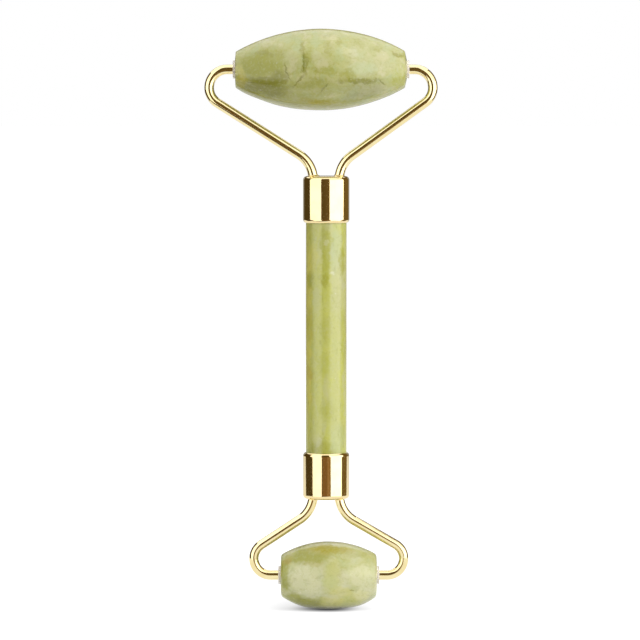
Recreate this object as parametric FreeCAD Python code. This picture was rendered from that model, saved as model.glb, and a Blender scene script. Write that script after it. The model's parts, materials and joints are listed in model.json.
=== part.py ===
import FreeCAD, Part
import math
import os

# A double-ended stone face roller, in millimetres. A polished stone rod is the handle. Each end of it is
# glued into a plated cup, the ferrule. Two bent wires are brazed into the closed end of each cup and
# make a fork, and the free ends of the fork are the axle of a barrel-shaped stone, which turns on them
# in two flanged plastic bushes. The large stone is at the top and the small one at the bottom.
#
# Frame: the origin is the middle of the handle, on its axis. +Z runs up the handle to the large stone,
# +X runs along both axles to the right, and the forks lie in the plane Y = 0.

Vector = FreeCAD.Vector
X_AXIS = Vector(1, 0, 0)
Z_AXIS = Vector(0, 0, 1)
ORIGIN = Vector(0, 0, 0)
FULL_TURN = 360.0
EDGE_MATCH = 0.01            # how near an edge lies to the place where it is looked for

# Handle: the stone rod.
HANDLE_D = 10.2
HANDLE_SHOWN = 57.6          # length of rod between the two ferrules
HANDLE_END_CHAMFER = 0.4

# Ferrule: the cup at each end of the handle.
FERRULE_D = 11.6
FERRULE_LENGTH = 11.6
FERRULE_FLOOR = 1.2          # thickness of the closed end
FERRULE_SHOULDER_R = 1.0     # round between the side and the closed end
FERRULE_MOUTH_R = 1.0        # round on the outside of the open end
FERRULE_MOUTH_IN = 0.4       # how far that round draws the wall in
FERRULE_MOUTH_CHAMFER = 0.1
GLUE_FILM = 0.1              # between the rod and the ferrule's bore
GLUE_POCKET = 2.6            # between the rod's end and the ferrule's floor

# Forks: one bent wire on each side.
WIRE_D = 2.4
LEG_X = 3.25                 # the legs' distance from the handle's axis
LEG_PROUD = 1.4              # how far a leg comes through the ferrule's floor
NECK_START = 1.0             # how far inside the ferrule's outer face the neck bend begins
NECK_R = 7.5                 # bend from the leg to the sloping arm, to the wire's centre
AXLE_TIP_CHAMFER = 0.3
BRAZE_OUTER = 0.4            # size of the braze fillet outside the ferrule
BRAZE_INNER = 0.5            # size of the braze fillet inside the ferrule

# Bushes: a flanged sleeve in each end of each stone.
BUSH_FLANGE_D = 4.5
BUSH_FLANGE = 0.55           # thickness
BUSH_FLANGE_ROUND = 0.15
BUSH_SLEEVE_D = 3.8
BUSH_SLEEVE_LENGTH = 6.0
AXLE_CLEARANCE = 0.08        # radial, between the wire and the bush
DRILL_POINT_DEG = 118.0

# The two heads. axle_z is the axle's height, shift_x is how far the head sits off the handle's axis,
# half_span is from the fork's middle to the wire's centre at the widest place. The stone's ends are given
# as (left, right): end_slope is how far an end falls away from the bush out to its corner, and corner_r is
# the round on that corner.
LARGE = {
    "axle_z": 67.0, "shift_x": -1.3, "half_span": 27.9, "hook_r": 4.55,
    "length": 42.9, "diameter": 20.4, "profile_r": 42.4,
    "end_slope": (0.1, 0.5), "corner_r": (0.4, 0.8),
    "bore_depth": 13.0, "axle_in_stone": 5.2,
}
SMALL = {
    "axle_z": -59.6, "shift_x": 0.65, "half_span": 18.75, "hook_r": 4.15,
    "length": 24.2, "diameter": 17.0, "profile_r": 23.5,
    "end_slope": (0.1, 0.1), "corner_r": (1.2, 1.4),
    "bore_depth": 8.5, "axle_in_stone": 5.2,
}

HANDLE_R = HANDLE_D / 2
FERRULE_R = FERRULE_D / 2
FERRULE_BORE_R = HANDLE_R + GLUE_FILM
WIRE_R = WIRE_D / 2
BUSH_BORE_R = WIRE_R + AXLE_CLEARANCE
MOUTH_Z = HANDLE_SHOWN / 2                      # open end of a ferrule
CLOSED_Z = MOUTH_Z + FERRULE_LENGTH             # outer face of its closed end
FLOOR_Z = CLOSED_Z - FERRULE_FLOOR              # inner face of its closed end
ROD_END_Z = FLOOR_Z - GLUE_POCKET


def revolved(edges, axis):
    """The solid that a closed outline of edges makes when it turns about an axis through the origin."""
    face = Part.Face(Part.Wire(Part.__sortEdges__(edges)))
    return face.revolve(ORIGIN, axis, FULL_TURN)


def line(start, end):
    return Part.LineSegment(start, end).toShape()


def arc(centre, radius, start_deg, end_deg):
    """An arc in the plane Y = 0. Angles run from +X towards +Z."""
    def point(degrees):
        angle = math.radians(degrees)
        return centre + Vector(radius * math.cos(angle), 0, radius * math.sin(angle))
    return Part.Arc(point(start_deg), point((start_deg + end_deg) / 2), point(end_deg)).toShape()


def mirrored_down(shape):
    """The same shape at the other end of the handle."""
    return shape.mirror(ORIGIN, Z_AXIS)


def handle_rod():
    rod = Part.makeCylinder(HANDLE_R, 2 * ROD_END_Z, Vector(0, 0, -ROD_END_Z), Z_AXIS)
    rims = [e for e in rod.Edges if isinstance(e.Curve, Part.Circle)]
    return rod.makeChamfer(HANDLE_END_CHAMFER, rims)


def upper_ferrule(legs):
    """The cup over the handle's upper end, with a hole for each leg of the fork."""
    shoulder = Vector(FERRULE_R - FERRULE_SHOULDER_R, 0, CLOSED_Z - FERRULE_SHOULDER_R)
    mouth_angle = math.acos(1 - FERRULE_MOUTH_IN / FERRULE_MOUTH_R)
    lip = Vector(FERRULE_R - FERRULE_MOUTH_R, 0, MOUTH_Z + FERRULE_MOUTH_R * math.sin(mouth_angle))
    chamfer_top = Vector(FERRULE_BORE_R, 0, MOUTH_Z + FERRULE_MOUTH_CHAMFER)
    chamfer_foot = Vector(FERRULE_BORE_R + FERRULE_MOUTH_CHAMFER, 0, MOUTH_Z)
    outline = [
        line(Vector(0, 0, CLOSED_Z), shoulder + Vector(0, 0, FERRULE_SHOULDER_R)),
        arc(shoulder, FERRULE_SHOULDER_R, 90, 0),
        line(shoulder + Vector(FERRULE_SHOULDER_R, 0, 0), lip + Vector(FERRULE_MOUTH_R, 0, 0)),
        arc(lip, FERRULE_MOUTH_R, 0, -math.degrees(mouth_angle)),
        line(Vector(FERRULE_R - FERRULE_MOUTH_IN, 0, MOUTH_Z), chamfer_foot),
        line(chamfer_foot, chamfer_top),
        line(chamfer_top, Vector(FERRULE_BORE_R, 0, FLOOR_Z)),
        line(Vector(FERRULE_BORE_R, 0, FLOOR_Z), Vector(0, 0, FLOOR_Z)),
        line(Vector(0, 0, FLOOR_Z), Vector(0, 0, CLOSED_Z)),
    ]
    cup = revolved(outline, Z_AXIS)
    for leg in legs:
        cup = cup.cut(leg)
    return cup


def fork_arm(head, side):
    """One bent wire. side is -1 for the left arm and 1 for the right one."""
    end = math.copysign(1, head["axle_z"])

    def place(out, up):
        """A point out from the handle's axis and up from its middle, on this side and at this end."""
        return Vector(side * out, 0, end * up)

    axle = abs(head["axle_z"])
    neck_up = CLOSED_Z - NECK_START
    neck_out = LEG_X + NECK_R
    hook_out = side * head["shift_x"] + head["half_span"] - head["hook_r"]
    hook_up = axle - head["hook_r"]
    # The sloping arm is the tangent between the neck bend and the hook, which curve opposite ways.
    apart = math.hypot(hook_out - neck_out, hook_up - neck_up)
    lean = math.atan2(hook_out - neck_out, hook_up - neck_up) + math.asin((NECK_R + head["hook_r"]) / apart)
    tip_out = side * head["shift_x"] + head["length"] / 2 - head["axle_in_stone"]

    def on_neck(angle):
        return place(neck_out - NECK_R * math.cos(angle), neck_up + NECK_R * math.sin(angle))

    def on_hook(angle):
        return place(hook_out + head["hook_r"] * math.cos(angle), hook_up + head["hook_r"] * math.sin(angle))

    foot = place(LEG_X, FLOOR_Z - LEG_PROUD)
    tip = place(tip_out, axle)
    top_of_hook = math.pi / 2
    path = Part.Wire([
        line(foot, on_neck(0)),
        Part.Arc(on_neck(0), on_neck(lean / 2), on_neck(lean)).toShape(),
        line(on_neck(lean), on_hook(-lean)),
        Part.Arc(on_hook(-lean), on_hook((top_of_hook - lean) / 2), on_hook(top_of_hook)).toShape(),
        line(on_hook(top_of_hook), tip),
    ])
    section = Part.Wire(Part.Circle(foot, Z_AXIS, WIRE_R).toShape())
    wire = path.makePipeShell([section], True, False)
    rims = [e for e in wire.Edges if (e.CenterOfMass - tip).Length < WIRE_R / 2]
    return wire.makeChamfer(AXLE_TIP_CHAMFER, rims)


def braze_fillets(arm, side, ferrule):
    """The rings of braze that hold one leg in the upper ferrule, outside its closed end and inside it."""
    leg = Vector(side * LEG_X, 0, 0)

    def ring(face_z, size, up):
        """A ring with a hollow quarter-round section, standing on the face at face_z."""
        corner = Vector(WIRE_R + size, 0, face_z + up * size)
        core = WIRE_R / 2
        base = Vector(core, 0, face_z)
        crown = Vector(core, 0, face_z + up * size)
        outline = [
            line(base, Vector(corner.x, 0, face_z)),
            arc(corner, size, -90 * up, -180 * up),
            line(Vector(WIRE_R, 0, corner.z), crown),
            line(crown, base),
        ]
        return revolved(outline, Z_AXIS).translated(leg)

    return [
        ring(CLOSED_Z, BRAZE_OUTER, 1).cut(arm).cut(ferrule),
        ring(FLOOR_Z, BRAZE_INNER, -1).cut(arm),
    ]


def glue(rod, arms, braze):
    """The glue in the upper ferrule: a film round the rod and a plug round the ends of the legs."""
    film = Part.makeCylinder(FERRULE_BORE_R, FLOOR_Z - MOUTH_Z, Vector(0, 0, MOUTH_Z), Z_AXIS)
    for piece in [rod, *arms, *braze]:
        film = film.cut(piece)
    return film


def barrel_stone(head):
    """A barrel with rounded corners and a drilled hole in each end, about the head's middle."""
    half = head["length"] / 2
    profile_r = head["profile_r"]
    # The side is one large arc. Each end is flat where the bush bears on it, and slopes away outside that.
    profile_centre = Vector(0, 0, head["diameter"] / 2 - profile_r)
    left_x, right_x = -half + head["end_slope"][0], half - head["end_slope"][1]
    left_deg, right_deg = (math.degrees(math.acos(x / profile_r)) for x in (left_x, right_x))
    flat_r = BUSH_FLANGE_D / 2

    def rim(x):
        return Vector(x, 0, profile_centre.z + math.sqrt(profile_r ** 2 - x ** 2))

    outline = [
        arc(profile_centre, profile_r, right_deg, left_deg),
        line(rim(right_x), Vector(half, 0, flat_r)),
        line(Vector(half, 0, flat_r), Vector(half, 0, 0)),
        line(Vector(half, 0, 0), Vector(-half, 0, 0)),
        line(Vector(-half, 0, 0), Vector(-half, 0, flat_r)),
        line(Vector(-half, 0, flat_r), rim(left_x)),
    ]
    stone = revolved(outline, X_AXIS)
    for x, corner_r in zip((left_x, right_x), head["corner_r"]):
        corners = [e for e in stone.Edges if isinstance(e.Curve, Part.Circle)
                   and abs(e.Curve.Center.x - x) < EDGE_MATCH and e.Curve.Radius > flat_r + EDGE_MATCH]
        stone = stone.makeFillet(corner_r, corners)
    bore_r = BUSH_SLEEVE_D / 2
    point_length = bore_r / math.tan(math.radians(DRILL_POINT_DEG / 2))
    for side in (-1, 1):
        mouth = Vector(side * half, 0, 0)
        inward = Vector(-side, 0, 0)
        stone = stone.cut(Part.makeCylinder(bore_r, head["bore_depth"], mouth, inward))
        bottom = mouth + inward * head["bore_depth"]
        stone = stone.cut(Part.makeCone(bore_r, 0, point_length, bottom, inward))
    return stone


def bush(head, side):
    """A flanged sleeve in one end of a stone, about an axis through the head's middle."""
    flange_r = BUSH_FLANGE_D / 2
    sleeve_r = BUSH_SLEEVE_D / 2
    face = head["length"] / 2
    outer = face + BUSH_FLANGE
    inner = face - BUSH_SLEEVE_LENGTH
    rounding = Vector(outer - BUSH_FLANGE_ROUND, 0, flange_r - BUSH_FLANGE_ROUND)
    outline = [
        line(Vector(outer, 0, BUSH_BORE_R), Vector(outer, 0, rounding.z)),
        arc(rounding, BUSH_FLANGE_ROUND, 0, 90),
        line(Vector(rounding.x, 0, flange_r), Vector(face, 0, flange_r)),
        line(Vector(face, 0, flange_r), Vector(face, 0, sleeve_r)),
        line(Vector(face, 0, sleeve_r), Vector(inner, 0, sleeve_r)),
        line(Vector(inner, 0, sleeve_r), Vector(inner, 0, BUSH_BORE_R)),
        line(Vector(inner, 0, BUSH_BORE_R), Vector(outer, 0, BUSH_BORE_R)),
    ]
    sleeve = revolved(outline, X_AXIS)
    return sleeve if side > 0 else sleeve.mirror(ORIGIN, X_AXIS)


def placed(shape, head):
    """A piece made about the origin, moved to its head."""
    return shape.translated(Vector(head["shift_x"], 0, head["axle_z"]))


def build():
    """Every node, by name."""
    sides = {"left": -1, "right": 1}
    nodes = {"handle_rod": handle_rod()}
    for size, head in (("large", LARGE), ("small", SMALL)):
        for name, side in sides.items():
            nodes[f"{size}_fork_{name}_arm"] = fork_arm(head, side)
            nodes[f"{size}_roller_{name}_bush"] = placed(bush(head, side), head)
        nodes[f"{size}_roller_stone"] = placed(barrel_stone(head), head)

    for end, size in (("upper", "large"), ("lower", "small")):
        # The ferrule, its braze and its glue are made at the upper end, round the arms as they are there.
        flip = mirrored_down if end == "lower" else (lambda shape: shape)
        arms = {name: flip(nodes[f"{size}_fork_{name}_arm"]) for name in sides}
        ferrule = upper_ferrule(arms.values())
        braze = [ring for name, side in sides.items() for ring in braze_fillets(arms[name], side, ferrule)]
        nodes[f"{end}_ferrule"] = flip(ferrule)
        nodes[f"{end}_brazing"] = flip(Part.makeCompound(braze))
        nodes[f"{end}_glue"] = flip(glue(nodes["handle_rod"], arms.values(), braze))
    return nodes


def main():
    os.makedirs("parts", exist_ok=True)
    for name, shape in build().items():
        for solid in shape.Solids:
            if not solid.isValid() or solid.Volume <= 0:
                raise ValueError(f"{name} isn't a valid solid")
        shape.exportStep(f"parts/{name}.step")
        print(f"{name}: {len(shape.Solids)} solids, {shape.Volume:.1f} mm3")


main()
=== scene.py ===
import json
import math

import bmesh
import bpy
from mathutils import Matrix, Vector, noise


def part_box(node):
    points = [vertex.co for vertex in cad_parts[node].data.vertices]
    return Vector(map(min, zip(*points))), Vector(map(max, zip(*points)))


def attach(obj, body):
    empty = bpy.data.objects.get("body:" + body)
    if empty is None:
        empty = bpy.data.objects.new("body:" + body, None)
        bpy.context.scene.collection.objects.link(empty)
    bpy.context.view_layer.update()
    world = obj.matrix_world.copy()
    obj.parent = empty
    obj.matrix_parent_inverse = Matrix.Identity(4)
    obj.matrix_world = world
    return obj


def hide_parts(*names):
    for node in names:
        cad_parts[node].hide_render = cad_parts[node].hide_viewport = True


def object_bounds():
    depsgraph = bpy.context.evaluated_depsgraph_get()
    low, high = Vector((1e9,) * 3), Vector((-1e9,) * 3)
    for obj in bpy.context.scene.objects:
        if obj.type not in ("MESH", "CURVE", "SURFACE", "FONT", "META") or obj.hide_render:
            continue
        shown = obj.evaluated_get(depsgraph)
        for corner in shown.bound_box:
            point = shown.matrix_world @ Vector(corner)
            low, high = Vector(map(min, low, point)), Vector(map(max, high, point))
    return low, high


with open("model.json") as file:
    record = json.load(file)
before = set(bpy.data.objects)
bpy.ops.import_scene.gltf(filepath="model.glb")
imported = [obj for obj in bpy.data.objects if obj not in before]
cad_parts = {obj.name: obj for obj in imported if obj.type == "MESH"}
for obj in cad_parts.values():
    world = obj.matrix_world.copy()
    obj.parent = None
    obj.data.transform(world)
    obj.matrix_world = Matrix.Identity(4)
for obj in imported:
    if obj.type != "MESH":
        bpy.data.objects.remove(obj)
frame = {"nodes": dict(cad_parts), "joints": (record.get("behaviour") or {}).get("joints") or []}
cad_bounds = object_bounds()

# The looks of a jade face roller, in metres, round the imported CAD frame. Every visible piece is rebuilt as
# a fine mesh on the place that its CAD node holds. The glue, which is sealed in, stays as it is.
#
# +Z runs up the handle to the large roller, +X along both axles, and the camera looks along +Y.

MM = 0.001
X = Vector((1, 0, 0))
Y = Vector((0, 1, 0))
Z = Vector((0, 0, 1))

# ---------------------------------------------------------------- sizes

# Shapes that the frame's boxes don't say, as on the CAD parts.
NECK_R = 7.5 * MM               # bend of a wire from its leg to the sloping arm
HOOK_R = {"large": 4.55 * MM, "small": 4.15 * MM}
PROFILE_R = {"large": 42.4 * MM, "small": 23.5 * MM}     # the arc along a stone's side
# A stone's ends, as (left, right): how far an end falls away from the bush, and the round on its corner.
END_SLOPE = {"large": (0.1 * MM, 0.5 * MM), "small": (0.1 * MM, 0.1 * MM)}
CORNER_R = {"large": (0.4 * MM, 0.8 * MM), "small": (1.2 * MM, 1.4 * MM)}
BORE_DEPTH = {"large": 13.0 * MM, "small": 8.5 * MM}
SLEEVE_R = 1.9 * MM             # outside of a bush, and the hole that it is pressed into
AXLE_CLEARANCE = 0.08 * MM
FLANGE = 0.55 * MM              # thickness of a bush's flange
FERRULE_FLOOR = 1.2 * MM
SHOULDER_R = 1.0 * MM           # round at a ferrule's closed end
LIP_R = 1.0 * MM                # round at its open end
LIP_IN = 0.4 * MM               # how far that round draws the wall in
LIP_CHAMFER = 0.1 * MM
GLUE_FILM = 0.1 * MM            # between the handle and the ferrule's bore
BRAZE_OUTER = 0.4 * MM          # size of the braze fillet outside the ferrule
BRAZE_INNER = 0.5 * MM
AXLE_IN_STONE = 5.2 * MM
NECK_START = 1.0 * MM           # how far inside the ferrule's end the neck bend begins
HOLE_EDGE = 0.15 * MM           # chamfer round the hole in a stone's end
DRILL_POINT_DEG = 118
ROD_CHAMFER = 0.4 * MM
FLANGE_ROUND = 0.15 * MM
HOLE_SPARE = 1.0 * MM           # how far the cutter of a leg's hole reaches past the ferrule's floor

# Unevenness from hand work, which the CAD parts don't have. Noise is scaled in waves per millimetre, and
# each surface is set in by a share of its waves' height, so that it hardly stands out from its CAD part.
# The stones' fuller places and the braze's lumps do stand out, inside the frame's box.
STONE_WAVES = {"large": 0.10 * MM, "small": 0.08 * MM}   # height of a stone's waves
BROAD_WAVES = 0.09
FINE_WAVES = 0.35
FINE_SHARE = 0.25               # height of the fine waves, as a share of the broad ones
STONE_SET_IN = 0.6
END_TILT = 0.5                  # how far a stone's ends lean in at the rim, as a share of its waves
END_TILT_POWER = 8              # how near to the ends that begins
WAVES_FADE = 2.0 * MM           # over which the waves fade out towards a stone's holes
# Where a stone was ground a little fuller on its lower side, as (place along it, reach, size).
FULLER = {
    "large": ((-9.5 * MM, 8.0 * MM, 0.24 * MM), (-19.5 * MM, 3.0 * MM, 0.26 * MM)),
    "small": ((-7.5 * MM, 4.0 * MM, 0.33 * MM), (8.5 * MM, 4.0 * MM, 0.50 * MM)),
}
# The rod's and the cups' waves, as (waves, stretch along the piece, set in, height).
ROD_WAVES = (0.12, 0.6, 0.8, 0.02 * MM)
CUP_WAVES = (0.3, 0.4, 0.9, 0.010 * MM)
CUP_SHIFT = 7                   # takes the two cups' waves from different places in the noise,
BRAZE_SHIFT = 3                 # and the braze's
# The braze's foot wanders, and has a lump where it ran, as (side, direction in degrees, size).
BRAZE_LUMP = {"upper": (-1, 235, 0.28 * MM), "lower": (1, 60, 0.12 * MM)}
LUMP_SPREAD_DEG = 30
LUMP_OUT = 0.8                  # how far the lump spreads the foot, as a share of its height
BRAZE_WAVES = 1.7
BRAZE_WANDER = 0.10 * MM
BRAZE_IN_WIRE = 0.9             # the fillet starts inside the wire, at this share of its radius
BRAZE_SUNK = 0.05 * MM          # and its foot is sunk in the ferrule

# Mesh fineness.
STEP = 0.35 * MM                # between rings along a piece
ROUND_STEP_DEG = 7.5            # between rings round a corner
FILLET_STEP_DEG = 9
SMALL_ROUND_STEP_DEG = 15
BEND_STEP_DEG = 2.5             # between rings round a wire's bend
CRISP_DEG = 40                  # edges sharper than this stay crisp,
BRAZE_CRISP_DEG = 60            # and so do these on the braze
STONE_SIDES = 160
METAL_SIDES = 144
WIRE_SIDES = 40

SIDES = {"left": -1, "right": 1}
JOINT_AT = {joint["child"]: Vector(joint["pos_m"]) for joint in frame["joints"]}
HEAD_AT = {"large": JOINT_AT["large_roller"], "small": JOINT_AT["small_roller"]}


def size_of(node):
    low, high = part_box(node)
    return high - low


HANDLE_R = size_of("handle_rod").x / 2
FERRULE_R = size_of("upper_ferrule").x / 2
WIRE_R = size_of("large_fork_left_arm").y / 2
FLANGE_R = size_of("large_roller_left_bush").z / 2
LEG_X = size_of("upper_brazing").x / 2 - WIRE_R - BRAZE_INNER      # from the ferrule's axis to a wire's leg
MOUTH_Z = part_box("upper_ferrule")[0].z
CLOSED_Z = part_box("upper_ferrule")[1].z


# ---------------------------------------------------------------- outlines and meshes

def straight(start, end, step=STEP):
    """Points from start up to end, which is left out, about a step apart and closer near both ends."""
    start, end = Vector(start), Vector(end)
    count = max(2, round((end - start).length / step))
    return [start.lerp(end, (1 - math.cos(math.pi * i / count)) / 2) for i in range(count)]


def rounded(centre, radius, start_deg, end_deg, step_deg=ROUND_STEP_DEG):
    """Points on an arc from start_deg up to end_deg, which is left out."""
    count = max(2, round(abs(end_deg - start_deg) / step_deg))
    points = []
    for i in range(count):
        angle = math.radians(start_deg + (end_deg - start_deg) * i / count)
        points.append(Vector(centre) + radius * Vector((math.cos(angle), math.sin(angle))))
    return points


def add_object(name, data):
    thing = bpy.data.objects.new(name, data)
    bpy.context.scene.collection.objects.link(thing)
    return thing


def finished(name, mesh_maker, crisp_deg=CRISP_DEG):
    """A smooth-shaded object from a bmesh, with edges sharper than crisp_deg kept crisp."""
    bmesh.ops.recalc_face_normals(mesh_maker, faces=mesh_maker.faces)
    mesh = bpy.data.meshes.new(name)
    mesh_maker.to_mesh(mesh)
    mesh_maker.free()
    mesh.shade_smooth()
    mesh.set_sharp_from_angle(angle=math.radians(crisp_deg))
    return add_object(name, mesh)


def add_revolved(mesh_maker, outline, centre, axis, sides, shift=None):
    """Turns an outline of (along, radius) points about an axis. One that starts and ends at radius 0 is
    closed there, and any other is joined up end to end. shift moves each point: shift(along, angle, radius)
    gives the new (along, radius). About X, angle 90 degrees is up and 270 degrees is down."""
    across = Y if axis != Y else X
    other = axis.cross(across)
    rings = []
    for along, radius in outline:
        ring = []
        for i in range(1 if radius < 1e-9 else sides):
            angle = math.tau * i / sides
            where = shift(along, angle, radius) if shift else (along, radius)
            out = across * math.cos(angle) + other * math.sin(angle)
            ring.append(mesh_maker.verts.new(centre + axis * where[0] + out * where[1]))
        rings.append(ring)
    pairs = list(zip(rings, rings[1:]))
    if len(rings[0]) > 1:
        pairs.append((rings[-1], rings[0]))
    for ring, following in pairs:
        for i in range(sides):
            corners = [ring[i % len(ring)], ring[(i + 1) % len(ring)],
                       following[(i + 1) % len(following)], following[i % len(following)]]
            mesh_maker.faces.new(list(dict.fromkeys(corners)))


def revolved(name, outline, centre, axis, sides, shift=None):
    mesh_maker = bmesh.new()
    add_revolved(mesh_maker, outline, centre, axis, sides, shift)
    return finished(name, mesh_maker)


def swept_wire(name, path, directions, radius):
    """A round wire along a path in the plane Y = 0. Both its ends are rounded off."""
    end_round = radius / 4
    first, last = directions[0], directions[-1]
    stations = [(path[0], first, radius - end_round), (path[0] + first * end_round, first, radius)]
    stations += [(point, way, radius) for point, way in zip(path[2:-1], directions[2:-1])]
    stations += [(path[-1] - last * end_round, last, radius), (path[-1], last, radius - end_round)]
    rings = []
    mesh_maker = bmesh.new()
    for point, way, ring_radius in stations:
        side = way.cross(Y)
        ring = []
        for i in range(WIRE_SIDES):
            angle = math.tau * i / WIRE_SIDES
            out = side * math.cos(angle) + Y * math.sin(angle)
            ring.append(mesh_maker.verts.new(point + out * ring_radius))
        rings.append(ring)
    for ring, following in zip(rings, rings[1:]):
        for i in range(WIRE_SIDES):
            j = (i + 1) % WIRE_SIDES
            mesh_maker.faces.new([ring[i], ring[j], following[j], following[i]])
    mesh_maker.faces.new(rings[0])
    mesh_maker.faces.new(rings[-1])
    return finished(name, mesh_maker)


def without(piece, cutters):
    """The piece with the cutters' space taken out of its mesh. The cutters are deleted."""
    for cutter in cutters:
        cut = piece.modifiers.new("cut", "BOOLEAN")
        cut.operation = "DIFFERENCE"
        cut.solver = "EXACT"
        cut.object = cutter
    graph = bpy.context.evaluated_depsgraph_get()
    mesh = bpy.data.meshes.new_from_object(piece.evaluated_get(graph))
    piece.modifiers.clear()
    piece.data = mesh
    for cutter in cutters:
        bpy.data.objects.remove(cutter)
    return piece


# ---------------------------------------------------------------- shader nodes

def make_material(name):
    """A material, its node tree and its Principled shader node."""
    material = bpy.data.materials.new(name)
    material.use_nodes = True
    tree = material.node_tree
    return material, tree, tree.nodes["Principled BSDF"]


def add_node(tree, kind, settings=None, **inputs):
    """Adds a shader node. An input given a socket is linked, and one given a value is set to it."""
    node = tree.nodes.new("ShaderNode" + kind)
    for name, value in (settings or {}).items():
        setattr(node, name, value)
    for name, value in inputs.items():
        put(tree, node.inputs[name.replace("_", " ")], value)
    return node


def put(tree, socket, value):
    """Links a socket to an input, or sets the input to a value."""
    if isinstance(value, bpy.types.NodeSocket):
        tree.links.new(value, socket)
    else:
        socket.default_value = value


def mixed(tree, factor, first, second):
    """A colour between first and second."""
    node = add_node(tree, "Mix", {"data_type": "RGBA"})
    put(tree, node.inputs[0], factor)
    put(tree, node.inputs[6], first)
    put(tree, node.inputs[7], second)
    return node.outputs[2]


def maths(tree, operation, *values):
    node = add_node(tree, "Math", {"operation": operation})
    for socket, value in zip(node.inputs, values):
        put(tree, socket, value)
    return node.outputs[0]


def vector_maths(tree, operation, *values):
    node = add_node(tree, "VectorMath", {"operation": operation})
    for socket, value in zip(node.inputs, values):
        put(tree, socket, value)
    return node.outputs["Value" if operation in ("LENGTH", "DOT_PRODUCT") else "Vector"]


def ramped(tree, value, low, high, to_low=0.0, to_high=1.0):
    """value from low..high carried smoothly to to_low..to_high."""
    node = add_node(tree, "MapRange", {"interpolation_type": "SMOOTHSTEP"}, Value=value, From_Min=low,
                    From_Max=high, To_Min=to_low, To_Max=to_high)
    return node.outputs["Result"]


def cloudy(tree, at, scale, detail=4.0, roughness=0.5, distortion=0.0):
    """Noise from 0 to 1, with scale in blotches per millimetre."""
    node = add_node(tree, "TexNoise", Vector=at, Scale=scale, Detail=detail, Roughness=roughness,
                    Distortion=distortion)
    return node.outputs


def millimetres(tree, centre=(0, 0, 0)):
    """The place on the piece, in millimetres from centre."""
    place = add_node(tree, "TexCoord").outputs["Object"]
    moved = vector_maths(tree, "SUBTRACT", place, centre)
    return vector_maths(tree, "MULTIPLY", moved, (1 / MM, 1 / MM, 1 / MM))


def bumped(tree, shader, height, distance):
    node = add_node(tree, "Bump", Height=height, Distance=distance, Strength=1.0)
    put(tree, shader.inputs["Normal"], node.outputs["Normal"])


# ---------------------------------------------------------------- jade

# Colours of polished jade, as reflectances.
TONES = {
    "pale": (0.410, 0.420, 0.165, 1),
    "cloud": (0.470, 0.475, 0.270, 1),
    "milky": (0.570, 0.570, 0.350, 1),
    "fresh": (0.465, 0.480, 0.124, 1),
    "leaf": (0.370, 0.385, 0.070, 1),
    "moss": (0.275, 0.282, 0.028, 1),
    "mid": (0.300, 0.305, 0.070, 1),
    "grey": (0.245, 0.255, 0.105, 1),
    "olive": (0.200, 0.200, 0.022, 1),
    "dark": (0.120, 0.124, 0.008, 1),
    "warm": (0.520, 0.500, 0.300, 1),
    "cool": (0.395, 0.450, 0.235, 1),
    "honey": (0.345, 0.314, 0.044, 1),
    "straw": (0.610, 0.560, 0.135, 1),
    "amber": (0.330, 0.215, 0.030, 1),
    "white": (0.620, 0.620, 0.480, 1),
}

# The broad mottling, from its dark end to its light one.
LARGE_CLOUDS = ((0.24, "mid"), (0.40, "pale"), (0.58, "pale"), (0.76, "cloud"))
SMALL_CLOUDS = ((0.26, "mid"), (0.40, "pale"), (0.54, "cloud"), (0.74, "milky"))
HANDLE_CLOUDS = ((0.26, "leaf"), (0.42, "fresh"), (0.60, "fresh"), (0.78, "cloud"))

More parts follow.
